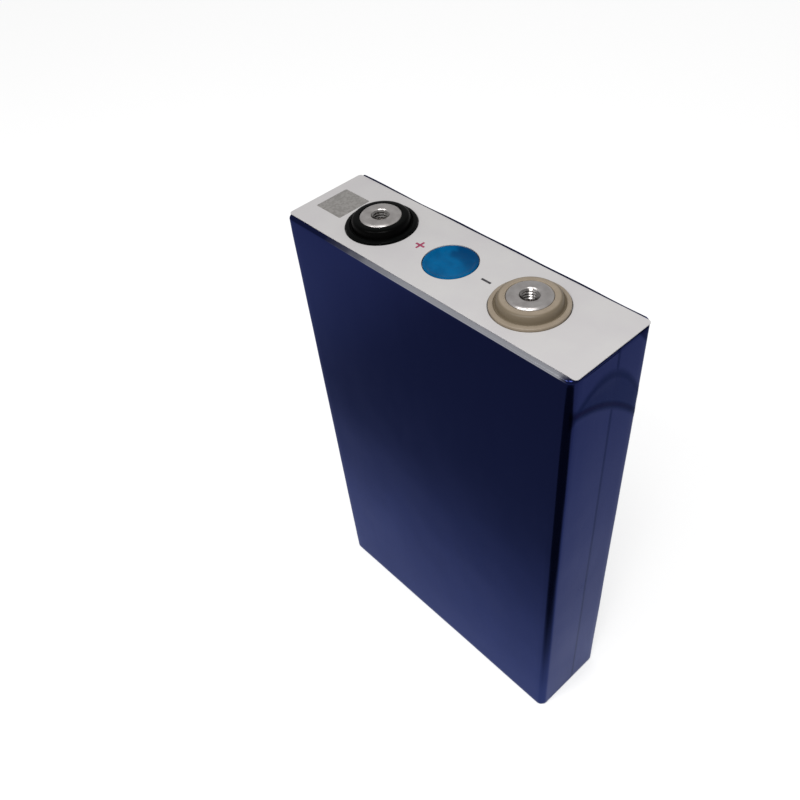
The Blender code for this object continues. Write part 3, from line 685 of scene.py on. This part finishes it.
def model_film_sleeve(material):
    """The film round the case: an open box of thin film that turns in over the lid's edge."""
    low = (CASE_LOW[0] + FILM_LAYER, CASE_LOW[1], 2 * FILM_LAYER)
    high = (CASE_HIGH[0] - FILM_LAYER, CASE_HIGH[1], FILM_TOP)
    sleeve = block("film_wrap", low, high)
    bevel_edges(sleeve, upright, FILM_CORNER, 8)
    bevel_edges(sleeve, level_at(FILM_TOP), FILM_FOLD, 6)
    bevel_edges(sleeve, level_at(low[2]), FILM_BASE_EDGE, 3)
    bpy.ops.object.mode_set(mode="EDIT")
    pick(sleeve, "FACE", lambda face: face.calc_center_median().z > FILM_TOP - 0.01 * MM)
    bpy.ops.mesh.inset(thickness=FILM_LIP - FILM_FOLD)
    bpy.ops.mesh.delete(type="FACE")
    bpy.ops.object.mode_set(mode="OBJECT")
    slice_grid(sleeve, 2, FILM_GRID)
    slice_grid(sleeve, 0, FILM_GRID)
    slice_grid(sleeve, 1, FILM_GRID)
    shape_film(sleeve)
    hold(sleeve)
    bpy.ops.object.mode_set(mode="EDIT")
    bpy.ops.mesh.select_all(action="SELECT")
    bpy.ops.mesh.normals_make_consistent(inside=False)
    bpy.ops.object.mode_set(mode="OBJECT")
    apply_modifier(sleeve, "SOLIDIFY", thickness=FILM, offset=-1.0)
    return finish(sleeve, material, "film", "film_sleeve")


def model_film_lap(material):
    """Where the film laps over itself down a narrow face, its outer edge shows as an upright line."""
    face_x = CASE_HIGH[0] - FILM_LAYER
    near = (face_x - 0.5 * FILM_LAYER, LAP_START_Y, LAP_END_MARGIN)
    far = (face_x + FILM_LAYER, LAP_EDGE_Y, FILM_TOP - FILM_FOLD)
    lap = block("film_lap", near, far)
    slice_grid(lap, 2, FILM_GRID)
    slice_grid(lap, 1, FILM_GRID)
    shape_film(lap)
    for vertex in lap.data.vertices:
        vertex.co.x -= FILM_LAYER * (1 - smooth_step(vertex.co.y, LAP_START_Y, LAP_START_Y + 5 * MM))
    return finish(lap, material, "film")


def model_base_flap(name, material, low, high, taper, inner_edge):
    """A folded-over flap under the base, narrower at its inner edge."""
    flap = block(name, low, high)
    bpy.ops.object.mode_set(mode="EDIT")
    axis, position = inner_edge
    pick(flap, "VERT", lambda vertex: abs(vertex.co[axis] - position) < 0.01 * MM)
    value = (taper, 1, 1) if axis == 1 else (1, taper, 1)
    bpy.ops.transform.resize(value=value, center_override=(0, 0, 0))
    bpy.ops.object.mode_set(mode="OBJECT")
    return finish(flap, material, "film")


def model_base_flaps(material):
    """The film's lower ends, folded like a parcel: the short ends tucked first, the long ones over them."""
    edge_x = CASE_HIGH[0] - 1.5 * MM
    edge_y = CASE_HIGH[1] - 1.2 * MM
    layer = FILM_LAYER
    for name, side in (("left", -1), ("right", 1)):
        inner_x = side * (edge_x - FLAP_TUCK)
        reach = sorted((side * edge_x, inner_x))
        model_base_flap(
            f"film_base_tuck_{name}", material, (reach[0], -edge_y, layer), (reach[1], edge_y, 2.2 * layer),
            TUCK_TAPER, (0, inner_x),
        )
    for name, side, inner_y in (("front", -1, 1.5 * MM), ("back", 1, 2.0 * MM)):
        reach = sorted((side * edge_y, inner_y))
        model_base_flap(
            f"film_base_flap_{name}", material, (-edge_x, reach[0], 0.0), (edge_x, reach[1], 0.95 * layer),
            FLAP_TAPER, (1, inner_y),
        )


# ---------------------------------------------------------------- the lid's top

def model_top_sheet(material):
    """The die-cut sheet, a little uneven at its edges, with its holes and its window."""
    sheet = block("top_sheet_die_cut", SHEET_LOW, SHEET_HIGH)
    bevel_edges(sheet, upright, SHEET_CORNER, 6)
    bevel_edges(sheet, level_at(SHEET_TOP), 0.06 * MM, 1)
    slice_grid(sheet, 0, 4 * MM)
    slice_grid(sheet, 1, 4 * MM)
    for vertex in sheet.data.vertices:
        place = vertex.co.copy()
        near_edge = smooth_step(abs(place.y), 15.5 * MM, 16.3 * MM)
        vertex.co.y += SHEET_WAVE * near_edge * noise.noise(Vector((place.x / (17 * MM), place.y, 0)))
        vertex.co.z += 0.05 * MM * noise.noise(place / (21 * MM))
    low, high = SHEET_LOW[2] - MM, SHEET_TOP + MM
    holes = [(x, RING_RADIUS + SHEET_CLEARANCE) for x in TERMINALS.values()]
    holes.append((0.0, VENT_RADIUS + SHEET_CLEARANCE))
    for centre_x, radius in holes:
        cut_out(sheet, turned("cutter", centre_x, [(radius, low), (radius, high)], True))
    half_x, half_y = WINDOW_WIDTH / 2, WINDOW_DEPTH / 2
    window = block(
        "cutter", (WINDOW_CENTRE_X - half_x, -half_y, low), (WINDOW_CENTRE_X + half_x, half_y, high)
    )
    bevel_edges(window, upright, 0.5 * MM, 4)
    cut_out(sheet, window)
    return finish(sheet, material, "sheet", "top_sheet")


def model_marked_patch(material):
    """The raised panel of the lid in the window, with a shallow groove round it."""
    half_x, half_y = WINDOW_WIDTH / 2 - 0.05 * MM, WINDOW_DEPTH / 2 - 0.05 * MM
    top = SHEET_TOP - 0.12 * MM
    low = (WINDOW_CENTRE_X - half_x, -half_y, LID_TOP + 0.05 * MM)
    patch = block("marked_patch", low, (WINDOW_CENTRE_X + half_x, half_y, top))
    bevel_edges(patch, upright, 0.5 * MM, 4)
    bpy.ops.object.mode_set(mode="EDIT")
    pick(patch, "FACE", lambda face: face.calc_center_median().z > top - 0.01 * MM)
    bpy.ops.mesh.inset(thickness=0.35 * MM)
    bpy.ops.mesh.inset(thickness=0.05 * MM, depth=-0.06 * MM)
    bpy.ops.mesh.inset(thickness=0.05 * MM, depth=0.06 * MM)
    bpy.ops.object.mode_set(mode="OBJECT")
    return finish(patch, material, "aluminium")


def model_sign(name, centre_x, material, directions):
    """A printed sign: a small square of ink drawn out into arms."""
    half = SIGN_STROKE / 2
    low = (centre_x - half, -half, SHEET_TOP - INK)
    sign = block(name, low, (centre_x + half, half, SHEET_TOP + 2 * INK))
    bpy.ops.object.mode_set(mode="EDIT")
    for direction in directions:
        ahead = Vector(direction)
        side = Vector((centre_x, 0, SHEET_TOP)) + ahead * half
        pick(sign, "FACE", lambda face: (face.calc_center_median() - side).length < 0.1 * MM)
        reach = ahead * (SIGN_REACH - half)
        bpy.ops.mesh.extrude_region_move(TRANSFORM_OT_translate={"value": reach})
    bpy.ops.object.mode_set(mode="OBJECT")
    bevel_edges(sign, upright, 0.12 * MM, 2)
    return finish(sign, material, "tape")


def model_vent_cover(material):
    """The round film over the vent: a rolled rim, then a slack dish."""
    base = LID_TOP + 0.1 * MM
    rim = SHEET_TOP + 0.02 * MM
    radius = VENT_RADIUS
    profile = [
        (radius, base), (radius, rim - 0.15 * MM), (radius - 0.05 * MM, rim - 0.05 * MM),
        (radius - 0.15 * MM, rim), (radius - 0.75 * MM, rim), (radius - 1.0 * MM, rim - 0.06 * MM),
        (radius - 1.35 * MM, rim - 0.32 * MM), (radius - 1.8 * MM, rim - 0.48 * MM),
        (radius - 2.6 * MM, rim - 0.58 * MM), (radius - 4.4 * MM, rim - 0.66 * MM),
        (radius - 6.4 * MM, rim - 0.7 * MM), (radius - 8.4 * MM, rim - 0.72 * MM),
        (0.02 * MM, rim - 0.72 * MM),
    ]
    return finish(turned("vent_cover", 0.0, profile, True), material, "vent_film", "vent_film")


# ---------------------------------------------------------------- the terminals

def model_ring(name, centre_x, material, slot):
    """The moulded ring: a flange, a hollow groove and a collar round the head."""
    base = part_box(f"ring_{name}")[0][2]
    pocket = HEAD_RADIUS + 0.08 * MM
    bore = 5.3 * MM
    floor = CONTACT_Z - 3.7 * MM
    outline = [
        (12.50, -0.70), (12.50, 0.45), (12.46, 0.62), (12.36, 0.76), (12.20, 0.84), (11.90, 0.90),
        (11.40, 0.98), (11.15, 1.00), (11.02, 0.94), (10.92, 0.76), (10.80, 0.62), (10.62, 0.56),
        (10.44, 0.64), (10.32, 0.86), (10.24, 1.30), (10.10, 2.20), (9.98, 2.66), (9.80, 3.00),
        (9.54, 3.24), (9.20, 3.38), (8.80, 3.46), (7.90, 3.50), (7.50, 3.50), (7.38, 3.44),
    ]
    scale = RING_RADIUS / (12.5 * MM)
    profile = [(radius * MM * scale, SHEET_TOP + rise * MM) for radius, rise in outline]
    profile[0] = (RING_RADIUS, base)
    profile += [(pocket, CONTACT_Z - 0.7 * MM), (pocket, floor), (bore, floor), (bore, base)]
    ring = turned(f"ring_{name}_moulded", centre_x, profile, False)
    return finish(ring, material, slot, f"ring_{name}")


def model_terminal(name, centre_x, material, tail):
    """A terminal's head and shank, turned from one bar, with its blind hole."""
    top = CONTACT_Z
    hole_bottom = top - HOLE_DEPTH
    radius = HEAD_RADIUS
    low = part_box(f"terminal_{name}")[0][2]
    profile = [
        (0.3 * MM, hole_bottom - 0.6 * MM), (THREAD_MAJOR, hole_bottom), (THREAD_MAJOR, top - 0.45 * MM),
        (THREAD_MAJOR + 0.3 * MM, top - 0.12 * MM), (THREAD_MAJOR + 0.38 * MM, top - 0.03 * MM),
        (THREAD_MAJOR + 0.5 * MM, top), (radius - 0.85 * MM, top), (radius - 0.74 * MM, top - 0.03 * MM),
        (radius - 0.14 * MM, top - 0.5 * MM), (radius - 0.04 * MM, top - 0.6 * MM), (radius, top - 0.72 * MM),
        (radius, top - 3.5 * MM), (5.0 * MM, top - 3.5 * MM), (5.0 * MM, low),
    ]
    if tail:
        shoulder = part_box(f"lower_insulator_{name}")[1][2] - 1.0 * MM
        profile[-1:] = [(5.0 * MM, shoulder), (3.5 * MM, shoulder), (3.5 * MM, low)]
    terminal = turned(f"terminal_{name}_turned", centre_x, profile, True)
    return finish(terminal, material, "aluminium", f"terminal_{name}")


def model_thread(name, centre_x, material):
    """The thread's ridge: a small triangle wound up the hole."""
    deselect_all()
    bottom = CONTACT_Z - HOLE_DEPTH + 0.1 * MM
    bpy.ops.mesh.primitive_circle_add(vertices=3, radius=0.5 * MM, fill_type="NOTHING", location=(0, 0, 0))
    thread = bpy.context.object
    thread.name = thread.data.name = f"thread_{name}"
    corners = (
        (THREAD_MAJOR + 0.04 * MM, -0.42 * MM), (THREAD_MINOR, 0.0), (THREAD_MAJOR + 0.04 * MM, 0.42 * MM)
    )
    for vertex, (radius, rise) in zip(thread.data.vertices, corners):
        vertex.co = (radius, 0, rise)
    apply_modifier(
        thread, "SCREW", axis="Z", angle=2 * math.pi, screw_offset=THREAD_PITCH, iterations=THREAD_TURNS,
        steps=48, render_steps=48, use_merge_vertices=False,
    )
    bpy.ops.object.mode_set(mode="EDIT")
    pick(thread, "EDGE", lambda edge: edge.is_boundary)
    bpy.ops.mesh.fill()
    bpy.ops.mesh.select_all(action="SELECT")
    bpy.ops.transform.translate(value=(centre_x, 0, bottom + 0.3 * MM))
    bpy.ops.object.mode_set(mode="OBJECT")
    return finish(thread, material, "aluminium")


# ---------------------------------------------------------------- the inner pieces

def dress_inner_pieces(materials):
    """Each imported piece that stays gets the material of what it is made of."""
    finishes = {
        "rolled": ("can", "lid_plate", "vent_membrane", "fill_cap"),
        "copper": ("post_minus", "collector_minus", "tab_minus_front", "tab_minus_back"),
        "foil": ("collector_plus", "tab_plus_front", "tab_plus_back"),
        "rubber": ("gasket_plus", "gasket_minus", "fill_plug"),
        "natural": ("lower_insulator_plus", "lower_insulator_minus", "vent_guard", "bottom_plate"),
        "bag": ("insulation_bag",),
        "tape": ("weld_tape_plus", "weld_tape_minus", "roll_tape_front", "roll_tape_back"),
        "positive": ("positive_front", "positive_back"),
        "negative": ("negative_front", "negative_back"),
        "separator": (
            "separator_inner_front", "separator_inner_back", "separator_outer_front", "separator_outer_back"
        ),
    }
    for key, nodes in finishes.items():
        for name in nodes:
            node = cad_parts[name]
            if not node.data.materials:
                node.data.materials.append(materials[key])
            for index in range(len(node.material_slots)):
                node.material_slots[index].material = materials[key]


def make_materials():
    black, beige = BLACK_RESIN, BEIGE_RESIN
    return {
        "film": heat_set_film(),
        "lap": film_layer(),
        "sheet": insulating_sheet(),
        "thread": cut_thread(),
        "rolled": rolled_aluminium(),
        "marked": marked_aluminium(),
        "foil": foil("aluminium_foil", ("#c6c6c7", "#d8d8d9")),
        "copper": foil("copper_foil", ("#c07a55", "#d99a75")),
        "black": moulded_resin("black_pps", TERMINALS["plus"], black, BLACK_GROOVE_SHADE, (0.28, 0.4), 0.03),
        "beige": moulded_resin("beige_pps", TERMINALS["minus"], beige, BEIGE_GROOVE_SHADE, (0.38, 0.5), 0.3),
        "vent": vent_cover_film(),
        "red_ink": printed_ink("crimson_ink", ("#8e2c4c", "#a34a66")),
        "dark_ink": printed_ink("dark_grey_ink", ("#2e2c30", "#4a484c")),
        # Moulded rubber: near black, with a soft bloom.
        "rubber": plain_polymer("moulded_epdm", ("#1c1c1d", "#262627"), (0.55, 0.7), 0.4 * MM, 0.01 * MM),
        # Moulded natural polypropylene: milky, with a mild gloss.
        "natural": plain_polymer(
            "moulded_polypropylene", ("#d8dad8", "#e2e3e1"), (0.35, 0.45), 0.5 * MM, 0.008 * MM
        ),
        # Extruded bag film: cool and glossy, with slow ripples.
        "bag": plain_polymer("extruded_pet_bag", ("#cfd4d6", "#dde1e2"), (0.18, 0.28), 3 * MM, 0.03 * MM),
        # Coated tape: a clear green with a low gloss.
        "tape": plain_polymer("coated_green_tape", ("#2f8f52", "#3a9f5e"), (0.3, 0.4), 2 * MM, 0.01 * MM),
        # Slurry-coated strips: flat charcoal, the negative one darker.
        "positive": plain_polymer(
            "coated_phosphate_strip", ("#38393c", "#434447"), (0.6, 0.75), 0.3 * MM, 0.008 * MM
        ),
        "negative": plain_polymer(
            "coated_graphite_strip", ("#26272a", "#303134"), (0.6, 0.75), 0.3 * MM, 0.008 * MM
        ),
        # Stretched porous film: an opaque soft white.
        "separator": plain_polymer(
            "stretched_separator", ("#e4e4e0", "#eeeeea"), (0.45, 0.55), 1 * MM, 0.005 * MM
        ),
    }


# ---------------------------------------------------------------- the studio

def make_floor():
    """A plain pale floor, which looks white to the camera and to the cell's gloss, and keeps the shadow."""
    deselect_all()
    bpy.ops.mesh.primitive_plane_add(size=6.0, location=(0, 0, -0.05 * MM))
    floor = bpy.context.object
    floor.name = "studio_floor"
    made = bpy.data.materials.new("pale_floor")
    made.use_nodes = True
    tree = made.node_tree
    shader = tree.nodes["Principled BSDF"]
    shader.inputs["Base Color"].default_value = colour("#f2f2f2")
    shader.inputs["Roughness"].default_value = 0.9
    shader.inputs["Specular IOR Level"].default_value = 0.1
    shader.inputs["Emission Color"].default_value = colour("#ffffff")
    rays = add_node(tree, "ShaderNodeLightPath").outputs
    seen = rays["Is Camera Ray"]
    for kind in ("Is Glossy Ray", "Is Transmission Ray"):
        either = add_node(tree, "ShaderNodeMath", {0: seen, 1: rays[kind]}, operation="MAXIMUM")
        seen = either.outputs["Value"]
    lift = add_node(tree, "ShaderNodeMath", {0: seen, 1: FLOOR_LIFT}, operation="MULTIPLY").outputs["Value"]
    tree.links.new(lift, shader.inputs["Emission Strength"])
    floor.data.materials.append(made)


def make_world():
    """An even pale sky, which looks white to the camera."""
    world = bpy.data.worlds.new("studio")
    world.use_nodes = True
    tree = world.node_tree
    background = tree.nodes["Background"]
    background.inputs["Color"].default_value = colour("#ffffff")
    rays = add_node(tree, "ShaderNodeLightPath").outputs
    lift = {0: rays["Is Camera Ray"], 1: 1 - WORLD_STRENGTH, 2: WORLD_STRENGTH}
    strength = add_node(tree, "ShaderNodeMath", lift, operation="MULTIPLY_ADD").outputs["Value"]
    tree.links.new(strength, background.inputs["Strength"])
    bpy.context.scene.world = world


def make_dark_card():
    """A feathered black card on the floor that only gloss sees. It deepens the front and the near edge."""
    deselect_all()
    bpy.ops.mesh.primitive_plane_add(size=1.0, location=(0, 0, 0.5 * MM))
    card = bpy.context.object
    card.name = "dark_card"
    made = bpy.data.materials.new("black_velvet_card")
    made.use_nodes = True
    tree = made.node_tree
    tree.nodes.remove(tree.nodes["Principled BSDF"])
    place = add_node(tree, "ShaderNodeTexCoord").outputs["Object"]
    parts = add_node(tree, "ShaderNodeSeparateXYZ", {"Vector": place}).outputs
    strip = region(
        tree,
        (parts["Y"], CARD_NEAR_Y, CARD_NEAR_Y - CARD_FEATHER),
        (parts["X"], CARD_LEFT_X, CARD_LEFT_X + 2.5 * CARD_FEATHER),
    )
    away = add_node(tree, "ShaderNodeVectorMath", {0: place, 1: CARD_SPOT}, operation="DISTANCE")
    round_end = region(tree, (away.outputs["Value"], CARD_SPOT_RADIUS, CARD_SPOT_RADIUS - CARD_SPOT_FEATHER))
    part = add_node(tree, "ShaderNodeMath", {0: strip, 1: CARD_COVER}, operation="MULTIPLY").outputs["Value"]
    spot = add_node(tree, "ShaderNodeMath", {0: round_end, 1: CARD_SPOT_COVER}, operation="MULTIPLY")
    darkest = {0: part, 1: spot.outputs["Value"]}
    cover = add_node(tree, "ShaderNodeMath", darkest, operation="MAXIMUM").outputs["Value"]
    clear = add_node(tree, "ShaderNodeBsdfTransparent").outputs["BSDF"]
    black = add_node(tree, "ShaderNodeBsdfDiffuse", {"Color": colour("#101010")}).outputs["BSDF"]
    mixed = add_node(tree, "ShaderNodeMixShader", {0: cover, 1: clear, 2: black}).outputs["Shader"]
    tree.links.new(mixed, tree.nodes["Material Output"].inputs["Surface"])
    card.data.materials.append(made)
    card.visible_camera = False
    card.visible_diffuse = False
    card.visible_shadow = False


def make_softbox(name, place, aim, side, watts):
    data = bpy.data.lights.new(name, "AREA")
    data.shape = "RECTANGLE"
    data.size = data.size_y = side
    data.energy = watts
    lamp = bpy.data.objects.new(name, data)
    lamp.location = place
    lamp.rotation_euler = (Vector(aim) - Vector(place)).to_track_quat("-Z", "Y").to_euler()
    bpy.context.scene.collection.objects.link(lamp)


def make_camera():
    """The camera's own right, up and back directions, turned by its roll, give its place and aim."""
    azimuth, elevation, roll = CAMERA_AZIMUTH, CAMERA_ELEVATION, CAMERA_ROLL
    level = math.cos(elevation)
    back = Vector((math.sin(azimuth) * level, -math.cos(azimuth) * level, math.sin(elevation)))
    right = Vector((0, 0, 1)).cross(back).normalized()
    up = back.cross(right)
    rolled_right = math.cos(roll) * right + math.sin(roll) * up
    rolled_up = math.cos(roll) * up - math.sin(roll) * right
    data = bpy.data.cameras.new("camera")
    data.lens = CAMERA_LENS
    data.sensor_width = CAMERA_SENSOR
    data.shift_y = CAMERA_SHIFT_Y
    data.clip_start = 0.01
    camera = bpy.data.objects.new("camera", data)
    place = CAMERA_RIGHT * rolled_right + CAMERA_UP * rolled_up + CAMERA_DISTANCE * back
    turn = Matrix((rolled_right, rolled_up, back)).transposed().to_4x4()
    camera.matrix_world = Matrix.Translation(place) @ turn
    bpy.context.scene.collection.objects.link(camera)
    bpy.context.scene.camera = camera


def make_studio():
    make_floor()
    make_world()
    make_dark_card()
    lid = (0, 0, SHEET_TOP)
    make_softbox("key_softbox", place=(-0.09, -0.61, 0.87), aim=lid, side=0.25, watts=2.0)
    make_softbox("boom_softbox", place=(0.14, -0.13, 0.49), aim=lid, side=0.12, watts=0.57)
    bpy.context.scene.view_settings.view_transform = "Standard"


def main():
    make_camera()
    make_studio()
    materials = make_materials()
    model_film_sleeve(materials["film"])
    model_film_lap(materials["lap"])
    model_base_flaps(materials["lap"])
    model_top_sheet(materials["sheet"])
    model_marked_patch(materials["marked"])
    model_vent_cover(materials["vent"])
    across = [(1, 0, 0), (-1, 0, 0)]
    model_sign("sign_plus", PLUS_X, materials["red_ink"], across + [(0, 1, 0), (0, -1, 0)])
    model_sign("sign_minus", MINUS_X, materials["dark_ink"], across)
    ring_finish = {"plus": ("black", "black_resin"), "minus": ("beige", "beige_resin")}
    for name, centre_x in TERMINALS.items():
        key, slot = ring_finish[name]
        model_ring(name, centre_x, materials[key], slot)
        model_terminal(name, centre_x, turned_aluminium(name, centre_x), name == "plus")
        model_thread(name, centre_x, materials["thread"])
    dress_inner_pieces(materials)


main()
